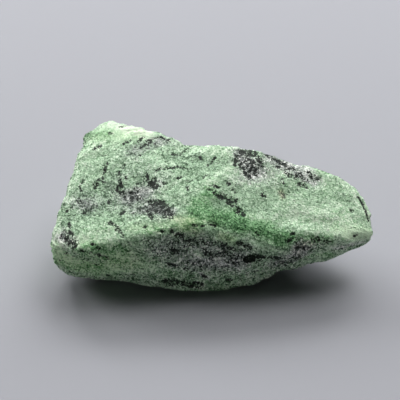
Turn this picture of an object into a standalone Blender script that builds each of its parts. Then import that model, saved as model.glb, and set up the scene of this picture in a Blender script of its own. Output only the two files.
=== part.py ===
"""Ruby in zoisite specimen: one rough piece of green zoisite, broken from the rock on every side.

Metres, +Z up. The stone is about 60 mm long. It lies on its small flat spot at Z = 0, its length runs along
X with the narrow end at +X, and -Y is the front, where the tall break shows. The origin is on the floor,
under the middle of the stone. Corners, sizes and depths below are in millimetres.

The block is two convex lumps that share the crest between the two top breaks. Shells of rock have sprung
off it, which leaves scoops. Its edges are then worn, its broad hollows and swells pressed in, and its skin
roughened with lumps, pits and the ledges of its layers. Last, the flat spot that it rests on is cut.
"""

from math import exp, floor

import bmesh
import bpy
from mathutils import Vector, noise

MM = 0.001

# The corners where broken faces meet, which both lumps share along the crest and down through the stone.
# The base corners lie a little low, because the flat spot is cut through them at the end.
CREST = {
    "back rim, dip": (-5.3, 7.6, 19.6),
    "crest, middle": (0.1, -3.2, 18.3),
    "front ridge, crest": (-4.7, -12.1, 15.6),
    "front belly": (-0.2, -14.8, 6.6),
    "front foot": (-2.3, -13.8, 0.6),
    "base, front": (2.2, -12.9, -0.2),
    "base, front low": (1.3, -10.9, -0.7),
    "base, right": (5.8, -5.4, -0.7),
    "base, back": (-1.2, 3.6, -0.7),
    "back waist, middle": (-2.2, 11.1, 9.0),
}

LEFT_LUMP = {
    "back rim, corner": (-24.3, 13.2, 18.3),
    "back rim, summit": (-19.8, 16.2, 19.4),
    "back rim, past the summit": (-15.7, 14.4, 19.7),
    "back rim, shoulder": (-11.8, 11.0, 19.8),
    "cap edge, left": (-24.4, 7.0, 18.4),
    "cap edge, right": (-13.1, 8.2, 19.5),
    "left rim, chamfer": (-28.2, -4.2, 15.0),
    "left rim, front": (-30.4, -12.0, 10.3),
    "front ridge, left end": (-24.7, -15.7, 12.6),
    "front ridge, left": (-20.4, -15.4, 13.3),
    "front ridge, bend": (-13.7, -15.0, 13.2),
    "front ridge, top": (-7.3, -12.7, 15.6),
    "left waist, front": (-30.1, -13.0, 7.3),
    "left foot, front": (-28.1, -9.8, 1.0),
    "front waist, left": (-17.0, -14.4, 6.0),
    "front foot, left": (-17.2, -11.6, 0.9),
    "front foot, near crest": (-6.8, -12.8, 0.6),
    "left foot, back": (-24.7, 4.6, 2.8),
    "base, left front": (-9.6, -9.4, -0.4),
    "base, left": (-12.2, -3.4, -0.3),
    "base, left back": (-9.6, 3.6, -0.4),
    "back waist, left": (-21.7, 14.6, 10.0),
    "back waist, bulge": (-13.2, 15.6, 8.0),
}

RIGHT_LUMP = {
    "back rim, left of the peak": (0.3, 6.5, 20.2),
    "back rim, peak": (5.2, 5.8, 20.5),
    "back rim, slope": (11.3, 4.8, 19.2),
    "back rim, notch": (17.3, 2.9, 17.2),
    "back rim, right": (23.7, 2.1, 16.3),
    "right end, back": (27.0, -0.2, 15.2),
    "right end, top": (29.7, -4.9, 12.9),
    "right end, tip": (30.3, -8.9, 11.4),
    "right end, front": (29.9, -9.9, 10.2),
    "front ridge, right": (5.6, -10.6, 13.6),
    "front ridge, saddle": (11.1, -10.5, 13.1),
    "front ridge, far right": (24.4, -10.6, 11.6),
    "front bevel, left": (6.3, -14.4, 11.6),
    "front bevel, right": (12.9, -13.8, 9.3),
    "front foot, right": (6.2, -12.0, 1.6),
    "underside, step": (16.1, -10.9, 3.5),
    "underside, right": (20.2, -9.9, 4.6),
    "underside, far right": (26.4, -8.4, 6.0),
    "underside, end": (29.5, -8.2, 7.9),
    "underside, back": (15.8, 0.6, 3.5),
    "underside, back right": (25.8, -1.9, 8.5),
    "back waist, right": (12.8, 7.4, 9.5),
    "back waist, end": (25.3, 2.6, 11.0),
}

# Shells of rock that have sprung off: the middle of the ball that fits each scoop, and its radius.
SCOOPS = {
    "front pocket": ((11.8, -19.0, 3.2), 8.0),
    "back": ((-5.2, 32.6, 11.0), 22.5),
    "left end": ((-48.7, 1.6, 6.0), 22.0),
    "underside": ((21.8, -3.4, -9.0), 14.0),
}
SCOOP_SIDES = 96

# Broad hollows (negative) and swells (positive) in the worn stone: the middle of each, how far it reaches
# along X, Y and Z, and how deep or high it is.
HOLLOWS_AND_SWELLS = {
    "top left, dished": ((-14.2, -4.4, 16.5), (8.0, 7.0, 6.0), -0.8),
    "left rim, chip": ((-25.0, 9.6, 18.0), (2.0, 2.0, 3.0), -0.7),
    "back rim, hollow": ((14.8, 3.8, 18.2), (3.5, 3.0, 3.0), -0.8),
    "front ridge, chip": ((-6.2, -12.0, 15.6), (3.0, 1.8, 1.8), -0.5),
    "pocket": ((7.2, -14.0, 8.9), (2.0, 1.8, 0.8), -2.0),
    "pocket, right": ((11.2, -13.4, 8.5), (2.8, 1.8, 0.6), -1.3),
    "bulge under the pocket": ((8.6, -13.2, 6.4), (3.2, 2.2, 1.4), 0.7),
    "front, middle": ((-4.0, -14.4, 10.4), (6.0, 2.5, 0.9), -0.6),
    "front, low": ((-7.0, -14.6, 4.0), (7.0, 2.5, 1.0), -0.6),
}

# Lumps and pits of the skin: their width, and how far the highest stand out.
LUMPS = {8.0: 0.55, 3.4: 0.4, 1.9: 0.22}

# The rock's layers rise to the back and fall to the right, in slow waves. The more a break cuts across them,
# the more each layer's edge makes a ledge: a tread that climbs over part of the thickness, then a short drop.
LAYER_NORMAL = Vector((0.239, -0.429, 0.871)).normalized()
LAYER_THICKNESS = 2.6
WAVE_LENGTH = 7.0
WAVE_HEIGHT = 1.6
WAVE_PLACE = Vector((31.0, 0.0, 0.0))
LEDGE_HEIGHT = 1.1
LEDGE_TREAD = 0.65
LEDGE_PATCHES = Vector((0.0, 57.0, 0.0))

# Wear and fineness: the size of the even grid of the skin, how often the edges and then the finished relief
# are smoothed, the height above the flat spot where the relief is full, and the number of triangles.
SKIN_GRID = 0.7
WEAR_PASSES = 3
CREASE_PASSES = 1
RELIEF_FULL_AT = 1.2
TRIANGLES = 8000

ZOISITE_GREEN = (0.21, 0.32, 0.20, 1.0)
BROKEN_ROCK_ROUGHNESS = 0.6


def new_object(name, form, collection):
    """A mesh object made from a bmesh, which is freed."""
    mesh = bpy.data.meshes.new(name)
    form.to_mesh(mesh)
    form.free()
    made = bpy.data.objects.new(name, mesh)
    collection.objects.link(made)
    return made


def lump(name, corners, collection):
    """The convex block that a set of corners spans."""
    form = bmesh.new()
    for corner in corners:
        form.verts.new(Vector(corner) * MM)
    bmesh.ops.convex_hull(form, input=form.verts)
    inside = [vert for vert in form.verts if not vert.link_faces]
    bmesh.ops.delete(form, geom=inside, context="VERTS")
    bmesh.ops.recalc_face_normals(form, faces=form.faces)
    return new_object(name, form, collection)


def scoop(name, middle, radius, collection):
    """The ball that fits the hollow a sprung shell leaves."""
    form = bmesh.new()
    bmesh.ops.create_uvsphere(
        form, u_segments=SCOOP_SIDES, v_segments=SCOOP_SIDES // 2, radius=radius * MM
    )
    ball = new_object("scoop, " + name, form, collection)
    ball.location = Vector(middle) * MM
    return ball


def combine(stone, other, operation):
    """Joins a hidden object to the stone, or cuts it out of the stone."""
    other.hide_render = True
    other.display_type = "WIRE"
    boolean = stone.modifiers.new(other.name, "BOOLEAN")
    boolean.operation = operation
    boolean.solver = "EXACT"
    boolean.object = other


def bake_modifiers(stone):
    """Turns the stone's modifiers into its plain mesh."""
    bpy.context.view_layer.update()
    seen = stone.evaluated_get(bpy.context.evaluated_depsgraph_get())
    mesh = bpy.data.meshes.new_from_object(seen)
    stone.modifiers.clear()
    stone.data = mesh


def smooth(form, passes):
    """Moves every point half way to the middle of its neighbours, a number of times."""
    for _ in range(passes):
        bmesh.ops.smooth_vert(
            form, verts=form.verts, factor=0.5, use_axis_x=True, use_axis_y=True, use_axis_z=True
        )


def swell(place):
    """How far the broad hollows and swells move a point of the skin, in millimetres."""
    height = 0.0
    for middle, reach, depth in HOLLOWS_AND_SWELLS.values():
        away = sum(((at - centre) / width) ** 2 for at, centre, width in zip(place, middle, reach))
        height += depth * exp(-away)
    return height


def lumps(place):
    """How far the lumps and pits move a point of the skin, in millimetres."""
    return sum(height * noise.noise(place / width) for width, height in LUMPS.items())


def ledges(place, outwards):
    """How far the broken edges of the layers move a point of the skin, in millimetres."""
    wave = WAVE_HEIGHT * noise.noise(place / WAVE_LENGTH + WAVE_PLACE)
    layer = (place.dot(LAYER_NORMAL) + wave) / LAYER_THICKNESS
    across = layer - floor(layer)
    if across < LEDGE_TREAD:
        climb = across / LEDGE_TREAD
    else:
        climb = (1.0 - across) / (1.0 - LEDGE_TREAD)
    crossing = 1.0 - outwards.dot(LAYER_NORMAL) ** 2
    strength = 0.5 + 0.5 * noise.noise(place / WAVE_LENGTH + LEDGE_PATCHES)
    return LEDGE_HEIGHT * crossing * strength * (climb - 0.5)


def wear_and_roughen(stone):
    """Wears the edges round, then presses the relief into the skin, fading it towards the flat spot."""
    form = bmesh.new()
    form.from_mesh(stone.data)
    smooth(form, WEAR_PASSES)
    form.normal_update()
    moved = []
    for vert in form.verts:
        place = vert.co / MM
        height = swell(place) + lumps(place) + ledges(place, vert.normal)
        fade = min(max(place.z / RELIEF_FULL_AT, 0.0), 1.0)
        moved.append(vert.co + vert.normal * height * fade * MM)
    for vert, place in zip(form.verts, moved):
        vert.co = place
    smooth(form, CREASE_PASSES)
    form.to_mesh(stone.data)
    form.free()


def rest_flat(stone):
    """Cuts the flat spot at Z = 0, and puts the origin under the middle of the stone."""
    form = bmesh.new()
    form.from_mesh(stone.data)
    everything = form.verts[:] + form.edges[:] + form.faces[:]
    cut = bmesh.ops.bisect_plane(
        form, geom=everything, plane_co=(0, 0, 0), plane_no=(0, 0, -1), clear_outer=True
    )
    rim = [edge for edge in cut["geom_cut"] if isinstance(edge, bmesh.types.BMEdge)]
    bmesh.ops.triangle_fill(form, edges=rim, use_beauty=True)
    bmesh.ops.recalc_face_normals(form, faces=form.faces)
    low = Vector(min(vert.co[axis] for vert in form.verts) for axis in range(3))
    high = Vector(max(vert.co[axis] for vert in form.verts) for axis in range(3))
    middle = (low + high) / 2
    bmesh.ops.translate(form, verts=form.verts, vec=(-middle.x, -middle.y, -low.z))
    form.to_mesh(stone.data)
    form.free()


def zoisite():
    """Sugary green rock, dull where it broke."""
    material = bpy.data.materials.new("zoisite")
    material.use_nodes = True
    shader = material.node_tree.nodes["Principled BSDF"]
    shader.inputs["Base Color"].default_value = ZOISITE_GREEN
    shader.inputs["Roughness"].default_value = BROKEN_ROCK_ROUGHNESS
    shader.inputs["Metallic"].default_value = 0.0
    return material


def main():
    for old in list(bpy.data.objects):
        bpy.data.objects.remove(old, do_unlink=True)
    parts = bpy.data.collections.new("ruby_in_zoisite_specimen")
    cutters = bpy.data.collections.new("cutters")
    bpy.context.scene.collection.children.link(parts)
    bpy.context.scene.collection.children.link(cutters)

    stone = lump("zoisite_stone", [*CREST.values(), *LEFT_LUMP.values()], parts)
    right = lump("right lump", [*CREST.values(), *RIGHT_LUMP.values()], cutters)
    combine(stone, right, "UNION")
    for name, (middle, radius) in SCOOPS.items():
        combine(stone, scoop(name, middle, radius, cutters), "DIFFERENCE")
    bake_modifiers(stone)

    skin = stone.modifiers.new("even skin", "REMESH")
    skin.mode = "VOXEL"
    skin.voxel_size = SKIN_GRID * MM
    bake_modifiers(stone)
    wear_and_roughen(stone)

    stone.data.calc_loop_triangles()
    thinned = stone.modifiers.new("fewer triangles", "DECIMATE")
    thinned.ratio = TRIANGLES / len(stone.data.loop_triangles)
    bake_modifiers(stone)
    rest_flat(stone)
    stone.data.shade_smooth()
    stone.data.materials.append(zoisite())


main()
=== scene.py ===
"""Ruby in zoisite specimen: a broken lump of sugary green zoisite with black hornblende, on a pale floor.

Metres, +Z up. The sizes of the rock's grain, marks and relief are in millimetres, which MM turns to metres.
"""

import random
from math import cos, radians, sin

import bmesh
import bpy
import numpy as np
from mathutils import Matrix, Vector


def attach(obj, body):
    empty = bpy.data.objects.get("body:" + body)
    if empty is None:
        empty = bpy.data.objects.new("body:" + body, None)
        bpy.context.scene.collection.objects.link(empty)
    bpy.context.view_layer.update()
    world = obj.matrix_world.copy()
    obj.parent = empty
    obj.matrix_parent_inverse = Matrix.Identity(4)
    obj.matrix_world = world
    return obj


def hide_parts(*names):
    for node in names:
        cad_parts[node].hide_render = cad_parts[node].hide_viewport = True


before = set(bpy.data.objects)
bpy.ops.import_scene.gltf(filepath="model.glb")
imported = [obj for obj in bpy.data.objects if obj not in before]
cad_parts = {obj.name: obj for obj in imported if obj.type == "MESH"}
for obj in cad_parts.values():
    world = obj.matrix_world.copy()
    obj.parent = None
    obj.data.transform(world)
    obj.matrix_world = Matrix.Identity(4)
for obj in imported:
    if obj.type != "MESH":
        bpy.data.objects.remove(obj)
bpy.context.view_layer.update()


# The camera. It looks down on the front of the stone, along +Y, from about a third of a metre away through a
# long lens, as a small specimen is photographed.
MM = 0.001
PICTURE = 400
CAMERA_ELEVATION = radians(38.0)
CAMERA_DISTANCE = 0.320
CAMERA_TARGET = Vector((-2.30, 3.46, 8.9)) * MM
LENS = 150.0
SENSOR = 36.0
NEAR_LIMIT = 0.01

camera_back = Vector((0.0, -cos(CAMERA_ELEVATION), sin(CAMERA_ELEVATION)))
camera_up = Vector((0.0, sin(CAMERA_ELEVATION), cos(CAMERA_ELEVATION)))
camera_place = CAMERA_TARGET + camera_back * CAMERA_DISTANCE

camera = bpy.data.objects.new("camera", bpy.data.cameras.new("camera"))
camera.data.lens = LENS
camera.data.sensor_width = SENSOR
camera.data.clip_start = NEAR_LIMIT
camera.location = camera_place
camera.rotation_euler = camera_back.to_track_quat("Z", "Y").to_euler()
bpy.context.scene.collection.objects.link(camera)
bpy.context.scene.camera = camera


# The stone: one lump of zoisite rock, broken off on every side and left rough. It is a mass of sugary grains
# in layers, which stand out as low ledges where a break cuts across them.
MERGE_GAP = 0.001
SKIN_GRID = 0.24
FLAT_SPOT_DEPTH = 0.12
LAYER_NORMAL = Vector((0.239, -0.429, 0.871)).normalized()


def plain_mesh(thing):
    """Turns an object's modifiers into its plain mesh."""
    bpy.context.view_layer.update()
    seen = thing.evaluated_get(bpy.context.evaluated_depsgraph_get())
    mesh = bpy.data.meshes.new_from_object(seen)
    thing.modifiers.clear()
    thing.data = mesh
    mesh.name = thing.name


stone = bpy.data.objects.new("broken_zoisite", bpy.data.meshes.new("broken_zoisite"))
bpy.context.scene.collection.objects.link(stone)
form = bmesh.new()
form.from_mesh(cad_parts["zoisite_stone"].data)
bmesh.ops.remove_doubles(form, verts=form.verts, dist=MERGE_GAP * MM)
form.to_mesh(stone.data)
form.free()

rounded = stone.modifiers.new("rounded facets", "SUBSURF")
rounded.levels = 1
rounded.render_levels = 1
even = stone.modifiers.new("even skin", "REMESH")
even.mode = "VOXEL"
even.voxel_size = SKIN_GRID * MM
plain_mesh(stone)

for vert in stone.data.vertices:
    if vert.co.z < FLAT_SPOT_DEPTH * MM:
        vert.co.z = 0.0


# Its black marks, by where the camera sees them: from one place in the picture to another, in pixels, how far
# each reaches to both sides, in millimetres, and how much of it is black. Most marks are hornblende; those
# noted below are painted shade, put where the stone lies in shadow. A mark lies in the rock, so it runs over
# an edge that it meets.
HORNBLENDE_AND_PAINTED_SHADE = {
    # the cluster on the crest
    "crest, top": ((242, 152), (253, 153), 1.1, 0.72),
    "crest, rim": ((243, 148), (254, 151), 0.8, 0.72),
    "crest, right": ((254, 155), (261, 160), 0.8, 0.7),
    "crest, right edge": ((260, 161), (263, 166), 0.6, 0.65),
    "crest, left": ((237, 155), (235, 165), 0.5, 0.7),
    "crest, left foot": ((241, 165), (246, 168), 0.8, 0.85),
    "crest, middle": ((248, 158), (252, 169), 2.1, 0.56),
    "crest, foot": ((246, 172), (249, 177), 0.85, 0.75),
    "crest, foot right": ((250, 175), (256, 174), 0.55, 0.7),
    # the chain along the back edge
    "chain 1": ((264, 154), (273, 158), 0.8, 0.4),
    "chain 2": ((278, 161), (284, 165), 0.6, 0.75),
    "chain 3": ((276, 167), (281, 167), 0.42, 0.75),
    "chain 4": ((284, 164), (289, 168), 0.7, 0.85),
    "chain 5": ((293, 168), (296, 171), 0.5, 0.85),
    "chain 6": ((288, 175), (297, 176), 0.8, 0.8),
    "chain 7": ((300, 174), (304, 180), 0.6, 0.6),
    "chain 8": ((282, 180), (283, 183), 0.45, 0.8),
    "chain 9": ((299, 184), (306, 187), 0.6, 0.6),
    "chain 10": ((309, 173), (313, 179), 0.6, 0.55),
    "chain 11": ((315, 178), (320, 179), 0.5, 0.55),
    "chain, between": ((284, 170), (305, 181), 1.1, 0.3),
    # between the crest and the deep green
    "crest spot": ((226, 182), (229, 184), 0.5, 0.85),
    "green patch 1": ((208, 189), (212, 190), 0.45, 0.7),
    "green patch 2": ((215, 186), (219, 188), 0.5, 0.75),
    "green patch 3": ((213, 191), (215, 195), 0.45, 0.7),
    "black spot, left": ((220, 196), (224, 197), 0.85, 0.85),
    "black spot, middle": ((229, 201), (233, 204), 0.9, 0.8),
    "black spot, tail": ((235, 199), (237, 203), 0.4, 0.6),
    "black spot, small": ((233, 190), (235, 192), 0.4, 0.8),
    "black spot, right": ((239, 211), (242, 213), 1.0, 0.85),
    "green patch, around": ((212, 188), (232, 200), 1.4, 0.15),
    "speck pair 1": ((262, 195), (265, 197), 0.42, 0.8),
    "speck pair 2": ((263, 191), (264, 193), 0.34, 0.7),
    "tan spot": ((282, 193), (284, 195), 0.34, 0.5),
    "dark speck": ((187, 187), (188, 190), 0.42, 0.7),
    "right spot": ((350, 210), (352, 211), 0.42, 0.7),
    "right end line 1": ((357, 196), (362, 203), 0.3, 0.9),
    "right end line 2": ((362, 203), (366, 212), 0.34, 0.9),
    "right end line 3": ((366, 212), (369, 221), 0.3, 0.9),
    # the left top face
    "cap dash": ((120, 127), (125, 126), 0.34, 0.7),
    "cap spot": ((109, 134), (112, 134), 0.6, 0.55),
    "cap spot, left": ((95, 149), (100, 146), 0.6, 0.66),
    "cap spot, right": ((125, 144), (129, 140), 0.65, 0.6),
    "cap edge": ((139, 141), (143, 137), 0.55, 0.65),
    "back edge 1": ((148, 141), (152, 139), 0.5, 0.6),
    "back edge 2": ((153, 138), (161, 137), 0.3, 0.75),
    "back edge 3": ((161, 137), (170, 141), 0.3, 0.8),
    "grey zone 1": ((141, 148), (146, 144), 0.4, 0.6),
    "grey zone 2": ((137, 158), (140, 155), 0.42, 0.65),
    "grey zone 3": ((148, 144), (151, 142), 0.4, 0.6),
    "fine line 1": ((172, 154), (180, 155), 0.34, 0.6),
    "fine line 2": ((181, 154), (189, 147), 0.28, 0.5),
    "fine line 3": ((207, 166), (211, 163), 0.32, 0.7),
    "fine line 4": ((212, 161), (216, 157), 0.34, 0.75),
    "fine line 5": ((203, 178), (206, 175), 0.34, 0.6),
    "small spot 1": ((199, 157), (201, 159), 0.36, 0.7),
    "small spot 2": ((178, 178), (180, 177), 0.45, 0.75),
    "ring": ((164, 184), (167, 184), 0.4, 0.5),
    "middle streak": ((164, 169), (177, 167), 0.4, 0.75),
    "middle streak, end": ((178, 167), (187, 169), 0.34, 0.5),
    "middle streak, start": ((156, 170), (160, 169), 0.4, 0.6),
    "left middle 1": ((147, 175), (148, 179), 0.5, 0.85),
    "left middle 2": ((155, 179), (155, 181), 0.5, 0.85),
    "left middle 3": ((151, 183), (155, 187), 0.85, 0.9),
    "left middle, around": ((147, 180), (158, 184), 1.1, 0.4),
    "upper streak": ((104, 172), (107, 163), 0.5, 0.75),
    "upper streak, foot": ((103, 176), (104, 182), 0.4, 0.65),
    "upper speck": ((122, 168), (124, 165), 0.45, 0.65),
    "left streak": ((95, 187), (98, 180), 0.6, 0.85),
    "left spot 1": ((82, 183), (84, 180), 0.42, 0.65),
    "left spot 2": ((80, 186), (81, 191), 0.42, 0.65),
    "long streak 1": ((120, 180), (121, 187), 0.6, 0.8),
    "long streak 2": ((118, 189), (124, 196), 0.65, 0.9),
    "long streak 3": ((119, 172), (119, 177), 0.42, 0.5),
    "long streak 4": ((125, 176), (126, 179), 0.34, 0.6),
    "brown cluster 1": ((131, 193), (132, 198), 0.5, 0.7),
    "brown cluster 2": ((136, 190), (138, 198), 0.9, 0.45),
    "dark green speck": ((137, 184), (138, 183), 0.36, 0.6),
    "big cluster 1": ((151, 202), (155, 206), 0.7, 0.8),
    "big cluster 2": ((157, 202), (163, 203), 0.75, 0.75),
    "big cluster 3": ((163, 206), (169, 213), 0.85, 0.75),
    "big cluster 4": ((167, 205), (171, 217), 0.6, 0.7),
    "big cluster, around": ((154, 207), (165, 213), 1.6, 0.4),
    "wavy line": ((138, 209), (147, 207), 0.34, 0.7),
    "slash": ((147, 211), (152, 218), 0.5, 0.9),
    "chain left 1": ((109, 222), (112, 224), 0.55, 0.65),
    "chain left 2": ((115, 226), (118, 230), 0.65, 0.8),
    "chain left 3": ((120, 233), (122, 236), 0.55, 0.75),
    "diagonal spot": ((121, 214), (124, 211), 0.55, 0.85),
    "speck left": ((108, 203), (109, 201), 0.46, 0.75),
    "left ring": ((92, 197), (94, 196), 0.34, 0.6),
    "grey patch 1": ((78, 201), (80, 203), 0.5, 0.5),
    "grey patch 2": ((83, 213), (87, 211), 0.42, 0.5),
    "edge spot 1": ((71, 208), (72, 207), 0.4, 0.75),
    "edge spot 2": ((66, 212), (67, 211), 0.4, 0.7),
    "edge line": ((64, 204), (63, 209), 0.36, 0.6),
    "ridge spot": ((145, 227), (146, 226), 0.42, 0.8),
    "left cluster 1": ((71, 241), (75, 246), 0.7, 0.85),
    "left cluster 2": ((64, 239), (70, 241), 0.5, 0.8),
    "left cluster 3": ((69, 232), (72, 235), 0.46, 0.75),
    "left cluster 4": ((69, 223), (70, 227), 0.45, 0.7),
    "left cluster, around": ((63, 235), (74, 244), 1.3, 0.4),
    # the tall front break
    "front dash 1": ((92, 244), (99, 249), 0.45, 0.9),
    "front dash 2": ((81, 251), (91, 253), 0.34, 0.8),
    "front dash 3": ((96, 254), (107, 258), 0.4, 0.8),
    "front dash 4": ((92, 263), (97, 265), 0.4, 0.75),
    "front dash 5": ((66, 253), (69, 254), 0.36, 0.7),
    "front speck 1": ((59, 260), (61, 262), 0.46, 0.75),
    "front speck 2": ((108, 276), (110, 277), 0.4, 0.75),
    "front speck 3": ((132, 275), (134, 275), 0.42, 0.75),
    # Painted shade: this mark darkens the undercut along the bottom edge of the front, where it lies in
    # shadow.
    "front low, left": ((164, 281), (200, 285), 1.1, 0.6),
    "ridge dash 1": ((160, 231), (164, 232), 0.4, 0.95),
    "ridge dash 2": ((171, 231), (173, 232), 0.42, 0.85),
    "ridge dash 3": ((193, 225), (204, 226), 0.36, 0.65),
    "ridge dash 4": ((210, 223), (215, 226), 0.5, 0.75),
    "front middle 1": ((178, 235), (189, 240), 0.7, 0.8),
    "front middle 2": ((173, 250), (178, 252), 0.5, 0.85),
    "front middle 3": ((166, 264), (179, 266), 0.45, 0.7),
    "front middle 4": ((185, 269), (192, 271), 0.45, 0.8),
    "front middle 5": ((222, 247), (236, 249), 0.5, 0.6),
    "front middle 6": ((238, 243), (250, 248), 0.6, 0.8),
    "front middle 7": ((196, 242), (224, 245), 1.0, 0.35),
    "front middle 8": ((205, 252), (214, 257), 0.9, 0.35),
    "front middle 9": ((148, 244), (158, 250), 1.2, 0.25),
    "front middle 10": ((160, 252), (190, 246), 1.6, 0.2),
    "front middle 11": ((222, 252), (240, 258), 1.2, 0.3),
    "front low 1": ((230, 262), (237, 264), 0.5, 0.8),
    "front low 2": ((226, 280), (232, 280), 0.4, 0.75),
    "front low 3": ((202, 276), (205, 277), 0.45, 0.85),
    "front low 4": ((254, 272), (257, 271), 0.45, 0.6),
    "front low 5": ((242, 276), (245, 275), 0.4, 0.6),
    "front low 6": ((196, 264), (236, 270), 1.1, 0.2),
    # Partly hornblende, partly painted shade: the pocket and its line are blackened where the notch under the
    # bevel lies in shadow.
    "pocket": ((247, 259), (258, 258), 0.9, 1.0),
    "pocket line": ((259, 257), (282, 259), 0.45, 0.85),
    "bevel dash": ((256, 233), (258, 234), 0.34, 0.7),
    "right dash 1": ((291, 234), (294, 234), 0.42, 0.75),
    "right dash 2": ((287, 242), (291, 240), 0.55, 0.85),
    "right dash 3": ((317, 238), (319, 240), 0.45, 0.75),
    "right dash 4": ((325, 241), (330, 242), 0.45, 0.75),
    "right dash 5": ((297, 248), (311, 248), 0.4, 0.75),
    "right dash 6": ((354, 236), (357, 235), 0.34, 0.7),
    "right dashes, around": ((296, 241), (326, 240), 0.9, 0.25),
    "right foot": ((283, 263), (298, 257), 1.1, 0.45),
}
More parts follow.
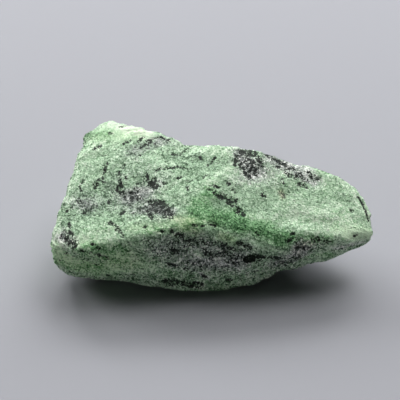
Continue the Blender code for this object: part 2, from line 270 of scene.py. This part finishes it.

# Its zones with soft edges, placed in the same way, and how much paler, greener and greyer the rock is there.
# Two of them are painted light and painted shade, as noted at each.
ZONES = {
    "cap": ((104, 128), (140, 132), 2.0, 0.24, 0.1, -0.3),
    "cap, back": ((116, 124), (150, 134), 1.1, 0.38, -0.2, 0.0),
    "cap, left": ((88, 154), (100, 140), 2.0, 0.16, 0.2, -0.3),
    "cap, left corner": ((88, 135), (106, 134), 1.1, -0.28, 0.3, 0.0),
    "left rim": ((84, 160), (76, 185), 0.9, 0.1, 0.1, 0.0),
    "lower left": ((88, 234), (112, 228), 1.6, 0.14, 0.3, -0.3),
    "lower middle": ((130, 236), (156, 226), 1.2, 0.05, 0.2, 0.0),
    "upper crest": ((196, 149), (232, 150), 1.2, 0.2, 0.0, 0.0),
    "crest shoulder": ((208, 184), (230, 167), 0.9, 0.24, 0.3, -0.2),
    "right, lower half": ((290, 214), (345, 216), 2.1, 0.28, 0.3, -0.3),
    "right tip": ((335, 228), (367, 229), 1.2, 0.3, 0.6, 0.0),
    "right, back": ((290, 186), (350, 190), 1.8, 0.06, 0.2, 0.0),
    "ridge chip": ((176, 219), (192, 220), 0.6, 0.42, 0.3, -0.5),
    "front bump": ((223, 237), (231, 240), 0.9, 0.08, 0.4, -0.6),
    "front spot": ((197, 253), (200, 255), 0.6, 0.35, 0.2, -0.3),
    "front low spot": ((200, 274), (208, 278), 0.6, 0.3, 0.0, 0.5),
    "triangle, apex": ((198, 203), (211, 192), 1.3, 0.1, 1.0, -0.5),
    "triangle, base": ((196, 212), (240, 218), 1.4, -0.1, 1.0, -0.5),
    "bevel, left": ((238, 224), (262, 227), 1.0, -0.1, 1.0, -0.5),
    "bevel, middle": ((264, 230), (283, 240), 1.6, -0.12, 1.1, -0.5),
    "bevel, right": ((290, 237), (330, 239), 0.8, 0.0, 0.7, 0.0),
    "front left": ((60, 260), (104, 272), 2.4, 0.2, 1.1, -0.5),
    "front upper left": ((80, 249), (122, 252), 1.4, 0.16, 1.0, -0.5),
    "front lower middle": ((116, 264), (165, 268), 2.0, 0.2, 0.6, -0.1),
    "front ridge": ((150, 232), (200, 226), 0.9, 0.14, 0.6, -0.2),
    "front low": ((175, 272), (235, 282), 1.8, 0.03, 0.4, 0.1),
    "right patch": ((306, 257), (330, 254), 0.9, 0.14, 0.9, 0.0),
    "bulge": ((240, 274), (270, 268), 1.2, 0.2, 0.4, 0.2),
    "left middle": ((88, 200), (146, 206), 2.4, -0.17, -0.1, 0.4),
    "left, upper": ((116, 178), (134, 172), 1.7, -0.1, 0.0, 0.3),
    "lilac": ((134, 196), (158, 184), 1.5, 0.08, -0.1, 0.6),
    "below the big cluster": ((134, 212), (172, 212), 1.2, -0.05, 0.0, 0.4),
    "back edge": ((134, 150), (158, 142), 1.7, -0.12, 0.0, 0.6),
    "left low": ((60, 236), (75, 246), 1.4, 0.1, 0.0, 0.8),
    "left high": ((76, 202), (88, 206), 1.4, 0.04, 0.0, 0.4),
    "crest cluster": ((240, 156), (254, 170), 1.8, 0.06, -0.3, 1.0),
    "right of the crest": ((236, 180), (272, 177), 1.7, 0.2, -0.2, 0.3),
    "chain": ((270, 158), (314, 182), 1.3, 0.12, -0.2, 0.8),
    "front middle": ((160, 246), (240, 254), 2.6, -0.05, 0.0, 0.6),
    "front middle, low": ((170, 264), (240, 266), 1.6, -0.05, 0.0, 0.4),
    "front right 1": ((278, 262), (300, 252), 1.8, -0.1, -0.3, 0.8),
    "front right 2": ((298, 247), (314, 246), 1.1, 0.22, 0.2, 0.4),
    "right end": ((336, 248), (362, 243), 0.7, 0.2, 0.0, 0.6),
    "right rim": ((354, 192), (368, 214), 0.8, 0.3, 0.2, 0.0),
    "left, edge": ((70, 196), (76, 206), 1.0, 0.15, 0.2, 0.0),
    "back, left of the dip": ((160, 140), (178, 145), 1.0, 0.1, -0.6, 0.3),
    "left, olive": ((68, 220), (88, 211), 1.3, -0.2, -0.3, 0.2),
    "left, olive 2": ((100, 212), (124, 220), 1.2, -0.12, -0.1, 0.1),
    "ridge, left": ((70, 241), (110, 242), 0.8, 0.28, 0.1, -0.3),
    "above the bevel": ((308, 230), (348, 231), 0.8, 0.28, 0.2, 0.0),
    "before the crest": ((188, 164), (222, 164), 1.3, -0.16, -0.3, 0.15),
    "left of the cluster": ((218, 153), (232, 157), 0.9, 0.06, 0.3, -0.4),
    "under the crest": ((222, 200), (240, 210), 1.1, -0.12, 0.1, 0.2),
    "triangle, right": ((218, 223), (240, 229), 1.0, -0.16, 0.6, 0.0),
    # Painted light: paler and greener on the strip under the right tip's ridge, which the stone's own shape
    # leaves in shade.
    "right tip, painted light": ((348, 236), (369, 235), 0.8, 0.8, 1.0, -0.6),
    "fine lines": ((174, 157), (196, 155), 1.1, -0.18, -0.3, 0.2),
    "back rim, left": ((126, 156), (150, 162), 1.2, 0.1, 0.0, 0.1),
    "big cluster": ((153, 206), (170, 212), 1.2, -0.14, -0.2, 0.6),
    "front low, left": ((86, 275), (126, 272), 1.2, 0.2, 0.2, 0.0),
    "right rim, back": ((308, 172), (346, 183), 1.0, 0.2, -0.2, 0.0),
    "long streak, around": ((110, 188), (124, 198), 1.0, -0.06, -0.1, 0.2),
    "chain, start": ((266, 153), (281, 159), 0.8, -0.2, 0.0, 0.2),
    "before the shoulder": ((194, 172), (204, 176), 0.9, -0.1, 0.0, 0.0),
    "triangle, left": ((186, 224), (206, 217), 0.8, 0.08, 0.3, -0.2),
    "bevel, upper": ((250, 216), (272, 222), 0.8, 0.3, 0.2, 0.0),
    "left rim, green": ((74, 172), (66, 200), 0.9, 0.0, -0.4, 0.0),
    "brown cluster, around": ((128, 196), (142, 191), 1.1, 0.12, -0.2, 0.4),
    "chain, rim": ((286, 163), (310, 169), 0.7, 0.14, -0.3, 0.7),
    "back, middle": ((150, 170), (172, 175), 1.1, 0.03, -0.1, 0.2),
    "front, low middle": ((196, 264), (244, 263), 1.1, 0.12, 0.0, 0.2),
    "left end": ((50, 250), (66, 257), 1.2, 0.52, 0.4, 0.1),
    "left end, top": ((57, 226), (60, 238), 0.9, 0.4, 0.2, 0.0),
    # Painted shade: darker along the bottom edge of the front, where it turns under towards the floor.
    "front low, painted shade": ((160, 277), (190, 281), 1.1, -0.2, 0.0, 0.0),
    "front left, streak 1": ((86, 243), (110, 252), 0.45, -0.22, 0.5, -0.2),
    "front left, streak 2": ((74, 249), (112, 260), 0.4, -0.24, 0.5, -0.2),
    "front left, streak 3": ((84, 261), (116, 272), 0.5, -0.16, 0.5, -0.2),
    "front left, vein 1": ((78, 246), (102, 255), 0.3, 0.24, 0.0, 0.0),
    "front left, vein 2": ((68, 254), (110, 266), 0.4, 0.26, 0.1, 0.0),
    "front left, vein 3": ((116, 256), (150, 268), 0.5, 0.16, 0.1, 0.0),
    "tan spot": ((281, 193), (284, 197), 0.5, -0.14, -0.6, 0.9),
}

# Where iron has stained the grains yellow-brown, and how strongly.
STAINS = {
    "tan spot": ((281, 192), (283, 197), 0.5, 0.5),
    "ridge chip": ((174, 218), (192, 220), 0.8, 0.22),
    "ridge": ((132, 228), (214, 222), 1.0, 0.14),
    "cap": ((94, 136), (140, 134), 1.8, 0.12),
    "ridge chip, below": ((184, 229), (196, 232), 0.8, 0.2),
    "front bump": ((222, 236), (232, 240), 0.8, 0.25),
    "front left": ((66, 262), (130, 262), 2.6, 0.2),
    "right end": ((298, 247), (312, 243), 0.8, 0.15),
}

# Where the rock broke more evenly, and how much less its grains stand out there.
EVENER = {
    "cap": ((98, 131), (150, 136), 2.2, 0.45),
}

# The sides that the camera doesn't see carry the same kinds of mark, scattered: spots, crowds and zones. Each
# has a range for its length and reach, in millimetres, and a spot or crowd for how much is hornblende.
HIDDEN_SEED = 11
FACING_AWAY = -0.45
HIDDEN_SPOTS = {"count": 110, "length": (0.1, 1.6), "reach": (0.34, 0.7), "share": (0.6, 0.95)}
HIDDEN_CROWDS = {"count": 16, "length": (1.0, 3.5), "reach": (0.8, 1.5), "share": (0.4, 0.7)}
CROWD_ZONE_REACH = (1.4, 2.4)
CROWD_ZONE = (-0.03, 0.0, 0.8)
HIDDEN_ZONES = {"count": 34, "length": (1.0, 4.0), "reach": (1.2, 2.4)}
HIDDEN_ZONE_KINDS = {
    "pale": (0.15, 0.1, 0.0),
    "deep green": (-0.18, 1.0, 0.0),
    "grey": (-0.1, 0.0, 0.8),
    "green": (0.0, 0.7, 0.0),
}

# How steeply a black mark thins out towards its reach, and how soon a soft zone does.
MARK_STEEPNESS = 1.8
ZONE_FADE = 0.7

bpy.context.view_layer.update()
count = len(stone.data.vertices)
skin = np.empty(count * 3, np.float32)
stone.data.vertices.foreach_get("co", skin)
skin = skin.reshape(-1, 3) / MM


def seen_at(x, y):
    """The point of the stone that the camera sees at a place in the picture, in millimetres.

    A place just off the stone is moved in to its edge, towards the middle of the picture.
    """
    middle = PICTURE / 2
    step = 0.01
    hit = False
    while not hit:
        across = (x - middle) / PICTURE * SENSOR / LENS
        above = (middle - y) / PICTURE * SENSOR / LENS
        ray = Vector((across, 0.0, 0.0)) + camera_up * above - camera_back
        hit, place, _, _ = stone.ray_cast(camera_place, ray.normalized())
        x += step * (middle - x)
        y += step * (middle - y)
    return np.array(place / MM)


def away_from(start, end):
    """How far every point of the skin is from the line between two places, in millimetres."""
    along = end - start
    shortest = 1e-9
    share = np.clip((skin - start) @ along / max(along @ along, shortest), 0.0, 1.0)
    return np.linalg.norm(skin - start - share[:, None] * along, axis=1)


def placed(marks):
    """The marks with their places in the picture turned to places on the stone."""
    return [(seen_at(*start), seen_at(*end), *rest) for start, end, *rest in marks.values()]


def streak_from(vert, length):
    """Both ends of a streak that follows the rock's layers from a point of the skin."""
    along = LAYER_NORMAL.cross(vert.normal).normalized()
    start = vert.co / MM
    return np.array(start), np.array(start + along * length)


def black_and_painted_shade_field(marks):
    """How dark each point is, from hornblende and from the marks that paint shade: each mark's share in its
    middle, and none past its reach.
    """
    field = np.zeros(count)
    for start, end, reach, share in marks:
        inside = np.clip(MARK_STEEPNESS * (1.0 - away_from(start, end) / reach), 0.0, 1.0)
        field = np.maximum(field, share * inside)
    return field


def soft_fields(marks):
    """The sum of the marks' amounts, each fading out over its reach."""
    fields = 0.0
    for start, end, reach, *amounts in marks:
        share = np.exp(-ZONE_FADE * (away_from(start, end) / reach) ** 2)
        fields = fields + np.outer(amounts, share)
    return fields


blacks_and_painted_shade = placed(HORNBLENDE_AND_PAINTED_SHADE)
zones = placed(ZONES)

chance = random.Random(HIDDEN_SEED)
hidden = [vert for vert in stone.data.vertices if vert.normal.dot(camera_back) < FACING_AWAY]
for kind in (HIDDEN_SPOTS, HIDDEN_CROWDS):
    for _ in range(kind["count"]):
        start, end = streak_from(chance.choice(hidden), chance.uniform(*kind["length"]))
        blacks_and_painted_shade.append((start, end, chance.uniform(*kind["reach"]), chance.uniform(*kind["share"])))
        if kind is HIDDEN_CROWDS:
            zones.append((start, end, chance.uniform(*CROWD_ZONE_REACH), *CROWD_ZONE))
for _ in range(HIDDEN_ZONES["count"]):
    start, end = streak_from(chance.choice(hidden), chance.uniform(*HIDDEN_ZONES["length"]))
    amounts = chance.choice(list(HIDDEN_ZONE_KINDS.values()))
    zones.append((start, end, chance.uniform(*HIDDEN_ZONES["reach"]), *amounts))

normals = np.empty(count * 3, np.float32)
stone.data.vertices.foreach_get("normal", normals)
normals = normals.reshape(-1, 3)
paler, greener, greyer = soft_fields(zones)

# What the relief and the finish read at every point of the skin. It is rough where it cuts across the layers.
FIELDS = {
    "black": black_and_painted_shade_field(blacks_and_painted_shade),
    "paler": paler,
    "greener": greener,
    "greyer": greyer,
    "stained": soft_fields(placed(STAINS))[0],
    "rough": 1.0 - (normals @ np.array(LAYER_NORMAL)) ** 2,
    "crisp": 1.0 - soft_fields(placed(EVENER))[0],
}
for name, values in FIELDS.items():
    stored = stone.data.attributes.new(name, "FLOAT", "POINT")
    stored.data.foreach_set("value", values.astype(np.float32))


def node(tree, kind, inputs=(), output=0, **settings):
    """Adds a node with its settings, sets or links its inputs, and gives back one of its outputs."""
    made = tree.nodes.new(kind)
    for name, value in settings.items():
        setattr(made, name, value)
    if not isinstance(inputs, dict):
        inputs = dict(enumerate(inputs))
    for name, value in inputs.items():
        if isinstance(value, bpy.types.NodeSocket):
            tree.links.new(value, made.inputs[name])
        else:
            made.inputs[name].default_value = value
    return made.outputs[output] if made.outputs else None


def linear(code):
    """The linear colour of an sRGB hex code."""
    parts = [int(code[at:at + 2], 16) / 255 for at in (1, 3, 5)]
    return (*[p / 12.92 if p <= 0.04045 else ((p + 0.055) / 1.055) ** 2.4 for p in parts], 1.0)


# The broken skin as geometry: lumps, the ledges of the layers, sugary grains, and the black marks a little
# lower, hornblende and painted shade alike.
# The more a face cuts across the layers, the rougher it broke. Sizes are in millimetres.
RELIEF = {
    "Lump Width": 2.4,
    "Lump Height": 0.5,
    "Layer Thickness": 1.1,
    "Layer Height": 0.5,
    "Layer Bend": 5.0,
    "Layer Bends per Millimetre": 0.22,
    "Ledge Rise": 0.7,
    "Ledge Patches per Millimetre": 0.3,
    "Ledge Patch Seed": 3.0,
    "Grain Width": 0.5,
    "Grain Height": 0.24,
    "Hornblende Depth": 0.2,
    "Smoothest": 0.3,
    "Foot": 0.1,
    "Foot Top": 1.0,
    "Seed": 7.0,
}
relief = bpy.data.node_groups.new("broken_skin", "GeometryNodeTree")
relief.interface.new_socket("Geometry", in_out="INPUT", socket_type="NodeSocketGeometry")
for name in RELIEF:
    relief.interface.new_socket(name, in_out="INPUT", socket_type="NodeSocketFloat")
relief.interface.new_socket("Finish", in_out="INPUT", socket_type="NodeSocketMaterial")
relief.interface.new_socket("Geometry", in_out="OUTPUT", socket_type="NodeSocketGeometry")

given = node(relief, "NodeGroupInput").node.outputs
place = node(relief, "GeometryNodeInputPosition")
place = node(relief, "ShaderNodeVectorMath", {0: place, "Scale": 1 / MM}, operation="SCALE")
outwards = node(relief, "GeometryNodeInputNormal")

# Low lumps all over.
lump_scale = node(relief, "ShaderNodeMath", (1.0, given["Lump Width"]), operation="DIVIDE")
lumps = node(relief, "ShaderNodeTexNoise", {
    "Vector": place, "W": given["Seed"], "Scale": lump_scale, "Detail": 2.0, "Roughness": 0.6,
}, noise_dimensions="4D")
lumps = node(relief, "ShaderNodeMath", (lumps, 0.5), operation="SUBTRACT")
height = node(relief, "ShaderNodeMath", (lumps, given["Lump Height"]), operation="MULTIPLY")

# The layers, which bend a little. Each one's edge rises slowly and then drops, and stands out in patches.
level = node(relief, "ShaderNodeVectorMath", (place, LAYER_NORMAL), "Value", operation="DOT_PRODUCT")
bend = node(relief, "ShaderNodeTexNoise", {
    "Vector": place, "W": given["Seed"], "Scale": given["Layer Bends per Millimetre"], "Detail": 2.0,
}, noise_dimensions="4D")
level = node(relief, "ShaderNodeMath", (bend, given["Layer Bend"], level), operation="MULTIPLY_ADD")
level = node(relief, "ShaderNodeMath", (level, given["Layer Thickness"]), operation="DIVIDE")
across = node(relief, "ShaderNodeMath", (level,), operation="FRACT")
rise = node(relief, "ShaderNodeMath", (across, given["Ledge Rise"]), operation="DIVIDE")
drop = node(relief, "ShaderNodeMath", (1.0, across), operation="SUBTRACT")
drop_share = node(relief, "ShaderNodeMath", (1.0, given["Ledge Rise"]), operation="SUBTRACT")
drop = node(relief, "ShaderNodeMath", (drop, drop_share), operation="DIVIDE")
ledge = node(relief, "ShaderNodeMath", (rise, drop), operation="MINIMUM")
ledge = node(relief, "ShaderNodeMath", (ledge, 0.5), operation="SUBTRACT")
ledge_patch = node(relief, "ShaderNodeTexNoise", {
    "Vector": place, "W": given["Ledge Patch Seed"], "Scale": given["Ledge Patches per Millimetre"],
    "Detail": 1.0,
}, noise_dimensions="4D")
ledge = node(relief, "ShaderNodeMath", (ledge, ledge_patch), operation="MULTIPLY")
height = node(relief, "ShaderNodeMath", (ledge, given["Layer Height"], height), operation="MULTIPLY_ADD")

# Lumps and ledges are full where a face cuts straight across the layers, and lowest where it follows them.
along = node(relief, "ShaderNodeVectorMath", (outwards, LAYER_NORMAL), "Value", operation="DOT_PRODUCT")
along = node(relief, "ShaderNodeMath", (along, along), operation="MULTIPLY")
rough = node(relief, "ShaderNodeMath", (1.0, along), operation="SUBTRACT")
rough = node(relief, "ShaderNodeMath", (rough, given["Smoothest"]), operation="ADD")
height = node(relief, "ShaderNodeMath", (height, rough), operation="MULTIPLY")

# Grains, each highest in its middle. They stand as far above the skin as the gaps between them lie below it.
GRAIN_LEVEL = 0.45
EVEN_FACE_GRAINS = 0.4
grain_scale = node(relief, "ShaderNodeMath", (1.0, given["Grain Width"]), operation="DIVIDE")
grains = node(relief, "ShaderNodeTexVoronoi", {"Vector": place, "Scale": grain_scale}, "Distance")
grains = node(relief, "ShaderNodeMath", (GRAIN_LEVEL, grains), operation="SUBTRACT")
grain_share = node(relief, "ShaderNodeMath", (
    rough, 1.0 - EVEN_FACE_GRAINS, EVEN_FACE_GRAINS), operation="MULTIPLY_ADD")
grains = node(relief, "ShaderNodeMath", (grains, grain_share), operation="MULTIPLY")
crisp = node(relief, "GeometryNodeInputNamedAttribute", {"Name": "crisp"}, data_type="FLOAT")
grains = node(relief, "ShaderNodeMath", (grains, crisp), operation="MULTIPLY")
height = node(relief, "ShaderNodeMath", (grains, given["Grain Height"], height), operation="MULTIPLY_ADD")

black = node(relief, "GeometryNodeInputNamedAttribute", {"Name": "black"}, data_type="FLOAT")
black = node(relief, "ShaderNodeMath", (black, given["Hornblende Depth"]), operation="MULTIPLY")
height = node(relief, "ShaderNodeMath", (height, black), operation="SUBTRACT")

# The relief fades out towards the floor, so that the flat spot stays flat.
above_floor = node(relief, "ShaderNodeSeparateXYZ", (place,), "Z")
fade = node(relief, "ShaderNodeMapRange", {
    "Value": above_floor, "From Min": given["Foot"], "From Max": given["Foot Top"],
    "To Min": 0.0, "To Max": MM,
}, interpolation_type="SMOOTHSTEP")
height = node(relief, "ShaderNodeMath", (height, fade), operation="MULTIPLY")
move = node(relief, "ShaderNodeVectorMath", {0: outwards, "Scale": height}, operation="SCALE")
moved = node(relief, "GeometryNodeSetPosition", {"Geometry": given["Geometry"], "Offset": move})
moved = node(relief, "GeometryNodeRealizeInstances", {"Geometry": moved})
moved = node(relief, "GeometryNodeSetMaterial", {"Geometry": moved, "Material": given["Finish"]})
node(relief, "NodeGroupOutput", {"Geometry": moved})


# Zoisite, a sugary aggregate of pale to mid green grains, as broken from the rock. It gives the eye a fine
# sparkle over mottled green, which is partly painted: the palest grains stand in for glints of light. The
# grains are about a quarter to half a millimetre wide, and the patches and streaks a few times that. The
# streaks are long along the layers and thin across them.
FINE_GRAIN = 0.24
COARSE_GRAIN = 0.6
MOTTLE = 1.6
STREAK_STRETCH = (1.6, 1.6, 0.4)
BENDS_PER_MM = 2.0
GRAIN_BEND = 0.5
zoisite = bpy.data.materials.new("broken_sugary_zoisite")
zoisite.use_nodes = True
tree = zoisite.node_tree
shader = tree.nodes["Principled BSDF"]

place = node(tree, "ShaderNodeTexCoord", (), "Object")
place = node(tree, "ShaderNodeVectorMath", {0: place, "Scale": 1 / MM}, operation="SCALE")
layer_turn = Vector((0, 0, 1)).rotation_difference(LAYER_NORMAL).to_euler()
streaky = node(tree, "ShaderNodeMapping", {
    "Vector": place, "Rotation": layer_turn, "Scale": STREAK_STRETCH}, vector_type="TEXTURE")
mottle = node(tree, "ShaderNodeTexNoise", {
    "Vector": place, "Scale": 1 / MOTTLE, "Detail": 2.0, "Roughness": 0.5})
streaks = node(tree, "ShaderNodeTexNoise", {
    "Vector": streaky, "Scale": 1 / MOTTLE, "Detail": 2.0, "Roughness": 0.5})
bent = node(tree, "ShaderNodeTexNoise", {"Vector": place, "Scale": BENDS_PER_MM, "Detail": 1.0}, "Color")
bent = node(tree, "ShaderNodeVectorMath", (bent, (GRAIN_BEND,) * 3, place), operation="MULTIPLY_ADD")
fine = node(tree, "ShaderNodeTexVoronoi", {"Vector": bent, "Scale": 1 / FINE_GRAIN}, "Color")
fine_distance = fine.node.outputs["Distance"]
fine_1, fine_2, fine_3 = node(tree, "ShaderNodeSeparateColor", (fine,)).node.outputs
coarse = node(tree, "ShaderNodeTexVoronoi", {"Vector": bent, "Scale": 1 / COARSE_GRAIN}, "Color")
coarse_1, coarse_2, _ = node(tree, "ShaderNodeSeparateColor", (coarse,)).node.outputs
field = {name: node(tree, "ShaderNodeAttribute", (), "Fac", attribute_name=name) for name in FIELDS}

# How pale each grain is, by its patch of the mottle, its own chance and its zone. Its own chance is partly
# the grain's tone and partly a painted glint: the palest grains stand in for highlights. A face along the
# layers is more even, and one across them more patchy, with stronger painted glints.
MIDDLE_TONE = 0.415
MOTTLE_SHARE = 0.45
STREAK_SHARE = 0.65
EVEN_PATCHES = 0.32
ROUGH_PATCHES = 1.25
EVEN_GRAIN_TONE_AND_PAINTED_GLINT = 0.68
ROUGH_GRAIN_TONE_AND_PAINTED_GLINT = 0.5
COARSE_SHARE = 0.2

patches = node(tree, "ShaderNodeMath", (
    streaks, STREAK_SHARE, -(MOTTLE_SHARE + STREAK_SHARE) / 2), operation="MULTIPLY_ADD")
patches = node(tree, "ShaderNodeMath", (mottle, MOTTLE_SHARE, patches), operation="MULTIPLY_ADD")
share = node(tree, "ShaderNodeMath", (field["rough"], ROUGH_PATCHES, EVEN_PATCHES), operation="MULTIPLY_ADD")
patches = node(tree, "ShaderNodeMath", (patches, share), operation="MULTIPLY")
# Partly grain tone, partly painted glints: each fine grain is paler or darker by its own chance, most on
# faces across the layers.
grain_tone_and_painted_glint = node(tree, "ShaderNodeMath", (fine_1, 0.5), operation="SUBTRACT")
share = node(tree, "ShaderNodeMath", (field["rough"], ROUGH_GRAIN_TONE_AND_PAINTED_GLINT, EVEN_GRAIN_TONE_AND_PAINTED_GLINT), operation="MULTIPLY_ADD")
grain_tone_and_painted_glint = node(tree, "ShaderNodeMath", (grain_tone_and_painted_glint, share), operation="MULTIPLY")
grain_tone_and_painted_glint = node(tree, "ShaderNodeMath", (grain_tone_and_painted_glint, field["crisp"]), operation="MULTIPLY")
tone = node(tree, "ShaderNodeMath", (patches, MIDDLE_TONE), operation="ADD")
tone = node(tree, "ShaderNodeMath", (grain_tone_and_painted_glint, tone), operation="ADD")
tone = node(tree, "ShaderNodeMath", (coarse_1, COARSE_SHARE, tone), operation="MULTIPLY_ADD")
tone = node(tree, "ShaderNodeMath", (field["paler"], tone), operation="ADD")

# Each kind of grain, from the darkest to the palest.
GRAIN_COLOURS = {
    "common zoisite": ("#3a583b", "#749473", "#9ebe9c", "#bcdab8", "#e1f2da"),
    "deep zoisite": ("#1a3d1e", "#4a7c4a", "#79ad76", "#a1cd9c", "#d7f2cd"),
    "feldspar grey": ("#1c221e", "#636b66", "#989f99", "#c2c9c1", "#fbfdf8"),
}
ramps = {}
for name, codes in GRAIN_COLOURS.items():
    ramps[name] = node(tree, "ShaderNodeValToRGB", (tone,))
    elements = ramps[name].node.color_ramp.elements
    for index, code in enumerate(codes):
        if index >= len(elements):
            elements.new(1.0)
        elements[index].position = index / (len(codes) - 1)
        elements[index].color = linear(code)

# Deep green lies in coarse grains and grey feldspar in fine ones, by the zone and the grain's own chance. A
# Mix node takes its two colours at 6 and 7, and gives the mixed one at 2.
OTHERS = (("deep zoisite", field["greener"], coarse_2), ("feldspar grey", field["greyer"], fine_2))
BY_CHANCE = 0.5
rock = ramps["common zoisite"]
for name, zone, by_chance in OTHERS:
    share = node(tree, "ShaderNodeMath", (by_chance, BY_CHANCE, -BY_CHANCE / 2), operation="MULTIPLY_ADD")
    share = node(tree, "ShaderNodeMath", (share, zone), operation="ADD")
    share = node(tree, "ShaderNodeMapRange", (share, 0.0, 1.0), interpolation_type="SMOOTHSTEP")
    rock = node(tree, "ShaderNodeMix", {0: share, 6: rock, 7: ramps[name]}, 2, data_type="RGBA")

IRON_STAIN = "#e6e69c"
stained = node(tree, "ShaderNodeMix", {
    0: 1.0, 6: rock, 7: linear(IRON_STAIN)}, 2, data_type="RGBA", blend_type="MULTIPLY")
rock = node(tree, "ShaderNodeMix", {0: field["stained"], 6: rock, 7: stained}, 2, data_type="RGBA")

# Hornblende, in black crystals: it gives the eye dark specks. Each fine grain is black or not by its own
# chance. Most are in a mark, in ragged clumps, and a few are anywhere. The few marks that paint shade are
# blackened in the same way.
CLUMP = 0.7
MARK_BLACK = 1.1
GREY_BLACK = 0.06
STRAY_BLACK = 0.03
RAGGED = 4.0
BLACK_EDGE = (-0.1, 0.14)
BLACK_COVER = 0.97
BLACKEST = "#0b0f0c"
BLACK_GREEN = "#29332b"
ragged = node(tree, "ShaderNodeTexNoise", {
    "Vector": place, "Scale": 1 / CLUMP, "Detail": 2.0, "Roughness": 0.6})
ragged = node(tree, "ShaderNodeMath", (ragged, RAGGED, 1.0 - RAGGED / 2), operation="MULTIPLY_ADD")
black = node(tree, "ShaderNodeMath", (field["black"], MARK_BLACK, STRAY_BLACK), operation="MULTIPLY_ADD")
black = node(tree, "ShaderNodeMath", (field["greyer"], GREY_BLACK, black), operation="MULTIPLY_ADD")
black = node(tree, "ShaderNodeMath", (black, ragged), operation="MULTIPLY")
black = node(tree, "ShaderNodeMath", (black, fine_3), operation="SUBTRACT")
black = node(tree, "ShaderNodeMapRange", (
    black, *BLACK_EDGE, 0.0, BLACK_COVER), interpolation_type="SMOOTHSTEP")
dark = node(tree, "ShaderNodeValToRGB", (fine_2,))
for element, at, code in zip(dark.node.color_ramp.elements, (0.3, 1.0), (BLACKEST, BLACK_GREEN)):
    element.position = at
    element.color = linear(code)
colour = node(tree, "ShaderNodeMix", {0: black, 6: rock, 7: dark}, 2, data_type="RGBA")
tree.links.new(colour, shader.inputs["Base Color"])

# A broken face is dull, with a faint gleam on some grains.
ROUGHNESS = (0.4, 0.75)
GLEAM = 0.15
GRAIN_BUMP = 0.15
GRAIN_BUMP_STRENGTH = 0.7
gloss = node(tree, "ShaderNodeMapRange", (fine_2, 0.0, 1.0, *ROUGHNESS))
tree.links.new(gloss, shader.inputs["Roughness"])
shader.inputs["Specular IOR Level"].default_value = GLEAM
bump = node(tree, "ShaderNodeBump", {
    "Strength": GRAIN_BUMP_STRENGTH, "Distance": GRAIN_BUMP * MM, "Height": fine_distance})
tree.links.new(bump, shader.inputs["Normal"])

broken = stone.modifiers.new("broken skin", "NODES")
broken.node_group = relief
for socket in relief.interface.items_tree:
    if socket.in_out == "INPUT" and socket.name in RELIEF:
        broken[socket.identifier] = RELIEF[socket.name]
    elif socket.in_out == "INPUT" and socket.name == "Finish":
        broken[socket.identifier] = zoisite
plain_mesh(stone)
stone.data.shade_smooth()

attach(stone, "root")
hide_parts("zoisite_stone")


# The floor and the light: a sheet of pale matt paper, which gives an even grey without a gleam, with soft
# light from behind the stone and from its sides, and a dim card in front.
FLOOR_WIDTH = 6.0
PAPER_GREY = "#9b9ca2"
PAPER_ROUGHNESS = 0.8
SOFTBOX_DISTANCE = 0.75
ROOM_LIGHT = 0.003

# Each light's heading, clockwise from straight behind, its elevation, its width and height, and its power.
SOFTBOXES = {
    "behind": (4.0, 46.0, 0.4, 0.25, 1.9),
    "behind, right": (28.0, 35.0, 0.2, 0.3, 1.2),
    "behind, left": (332.0, 35.0, 0.2, 0.3, 1.4),
    "above, wide": (0.0, 60.0, 1.2, 1.2, 4.4),
    "right": (48.0, 62.0, 0.4, 0.4, 1.7),
    "left, low": (300.0, 20.0, 0.3, 0.3, 2.7),
    "card in front": (180.0, 5.0, 0.7, 0.1, 0.45),
}

bpy.ops.mesh.primitive_plane_add(size=FLOOR_WIDTH)
floor = bpy.context.object
floor.name = "floor"
sheet = bpy.data.materials.new("pale_matt_paper")
sheet.use_nodes = True
paper = sheet.node_tree.nodes["Principled BSDF"]
paper.inputs["Base Color"].default_value = linear(PAPER_GREY)
paper.inputs["Roughness"].default_value = PAPER_ROUGHNESS
floor.data.materials.append(sheet)

world = bpy.data.worlds.new("dim_room")
world.use_nodes = True
world.node_tree.nodes["Background"].inputs["Color"].default_value = (1.0, 1.0, 1.0, 1.0)
world.node_tree.nodes["Background"].inputs["Strength"].default_value = ROOM_LIGHT
bpy.context.scene.world = world

for name, (heading, elevation, width, height, power) in SOFTBOXES.items():
    light = bpy.data.lights.new(name, "AREA")
    light.shape = "ELLIPSE"
    light.size = width
    light.size_y = height
    light.energy = power
    level = cos(radians(elevation))
    towards = Vector((sin(radians(heading)) * level, cos(radians(heading)) * level, sin(radians(elevation))))
    softbox = bpy.data.objects.new(name, light)
    softbox.location = towards * SOFTBOX_DISTANCE
    softbox.rotation_euler = towards.to_track_quat("Z", "Y").to_euler()
    bpy.context.scene.collection.objects.link(softbox)

bpy.context.scene.view_settings.view_transform = "Standard"
